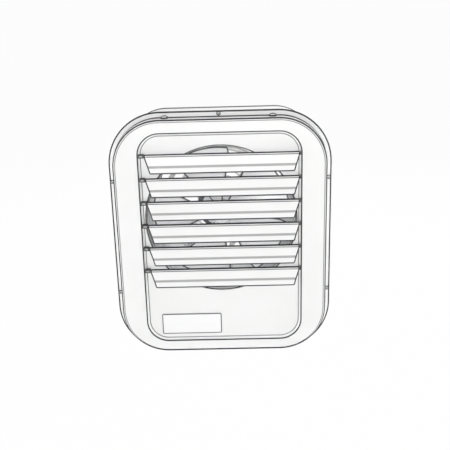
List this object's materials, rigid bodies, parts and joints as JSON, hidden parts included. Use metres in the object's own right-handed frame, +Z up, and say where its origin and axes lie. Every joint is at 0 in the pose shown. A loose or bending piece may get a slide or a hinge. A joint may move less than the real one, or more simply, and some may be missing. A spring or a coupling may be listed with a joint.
{
  "type": "ceiling mounted fan heater",
  "caption": "Louvred pressed-steel unit heater with a fan, motor and sheathed elements, hung from the flat top of its rear case.",
  "frame": {"origin": "middle of the flat top of the rear case, where the ceiling hanger seats", "axes": "+Z up, the louvred front faces -Y, +X is to the right seen from the front"},
  "size_m": [0.362, 0.1796, 0.4204],
  "materials": {
    "casing_paint": "white powder coat, satin",
    "nameplate": "blank white-faced foil",
    "fixings": "bright zinc plate",
    "bush_nylon": "grey moulded nylon",
    "galvanised": "galvanised sheet",
    "element_sheath": "heat-darkened sheath",
    "motor_paint": "dark grey enamel",
    "core_steel": "laminated core",
    "fan_alloy": "plain stamped alloy",
    "black_moulding": "black phenolic moulding",
    "lead_sleeve": "heat-proof sleeve",
    "brass_stud": "plain brass",
    "guard_wire": "coated wire"
  },
  "bodies": {
    "casing": {"front_panel": "casing_paint", "rear_case": "casing_paint", "nameplate": "nameplate", "louvre_bush_left_1": "bush_nylon", "louvre_bush_left_2": "bush_nylon", "louvre_bush_left_3": "bush_nylon", "louvre_bush_left_4": "bush_nylon", "louvre_bush_left_5": "bush_nylon", "louvre_bush_left_6": "bush_nylon", "louvre_bush_right_1": "bush_nylon", "louvre_bush_right_2": "bush_nylon", "louvre_bush_right_3": "bush_nylon", "louvre_bush_right_4": "bush_nylon", "louvre_bush_right_5": "bush_nylon", "louvre_bush_right_6": "bush_nylon", "flange_screw_top": "fixings", "flange_screw_bottom": "fixings", "flange_screw_left_upper": "fixings", "flange_screw_left_lower": "fixings", "flange_screw_right_upper": "fixings", "flange_screw_right_lower": "fixings", "top_bolt_left": "fixings", "top_bolt_right": "fixings", "hanger_insert_left": "fixings", "hanger_insert_right": "fixings", "air_drum": "galvanised", "heating_element_1": "element_sheath", "heating_element_2": "element_sheath", "motor_spider": "galvanised", "motor_end_bell": "motor_paint", "motor_housing": "motor_paint", "motor_bearing_front": "fixings", "motor_bearing_rear": "fixings", "motor_stator": "core_steel", "cutout_strip": "galvanised", "thermal_cutout": "black_moulding", "terminal_block": "black_moulding", "element_lead_1": "lead_sleeve", "element_lead_2": "lead_sleeve", "element_lead_3": "lead_sleeve", "element_lead_4": "lead_sleeve", "earth_stud": "brass_stud", "cable_bush": "black_moulding", "intake_guard": "guard_wire"},
    "louvre_body_1": {"louvre_1": "casing_paint", "louvre_rod_1": "fixings"},
    "louvre_body_2": {"louvre_2": "casing_paint", "louvre_rod_2": "fixings"},
    "louvre_body_3": {"louvre_3": "casing_paint", "louvre_rod_3": "fixings"},
    "louvre_body_4": {"louvre_4": "casing_paint", "louvre_rod_4": "fixings"},
    "louvre_body_5": {"louvre_5": "casing_paint", "louvre_rod_5": "fixings"},
    "louvre_body_6": {"louvre_6": "casing_paint", "louvre_rod_6": "fixings"},
    "rotor": {"fan": "fan_alloy", "motor_shaft": "fixings", "motor_rotor": "core_steel"}
  },
  "joints": [
    {"name": "louvre_hinge_1", "type": "hinge", "parent": "casing", "child": "louvre_body_1", "pos_m": [0, -0.09535, -0.0505], "axis": [-1, 0, 0], "range_deg": [-8, 70]},
    {"name": "louvre_hinge_2", "type": "hinge", "parent": "casing", "child": "louvre_body_2", "pos_m": [0, -0.09535, -0.0895], "axis": [-1, 0, 0], "range_deg": [-8, 70]},
    {"name": "louvre_hinge_3", "type": "hinge", "parent": "casing", "child": "louvre_body_3", "pos_m": [0, -0.09535, -0.1285], "axis": [-1, 0, 0], "range_deg": [-8, 70]},
    {"name": "louvre_hinge_4", "type": "hinge", "parent": "casing", "child": "louvre_body_4", "pos_m": [0, -0.09535, -0.1675], "axis": [-1, 0, 0], "range_deg": [-8, 70]},
    {"name": "louvre_hinge_5", "type": "hinge", "parent": "casing", "child": "louvre_body_5", "pos_m": [0, -0.09535, -0.2065], "axis": [-1, 0, 0], "range_deg": [-8, 70]},
    {"name": "louvre_hinge_6", "type": "hinge", "parent": "casing", "child": "louvre_body_6", "pos_m": [0, -0.09535, -0.2455], "axis": [-1, 0, 0], "range_deg": [-8, 70]},
    {"name": "fan_spin", "type": "hinge", "parent": "casing", "child": "rotor", "pos_m": [0, -0.04875, -0.1601], "axis": [0, 1, 0], "continuous": true}
  ]
}
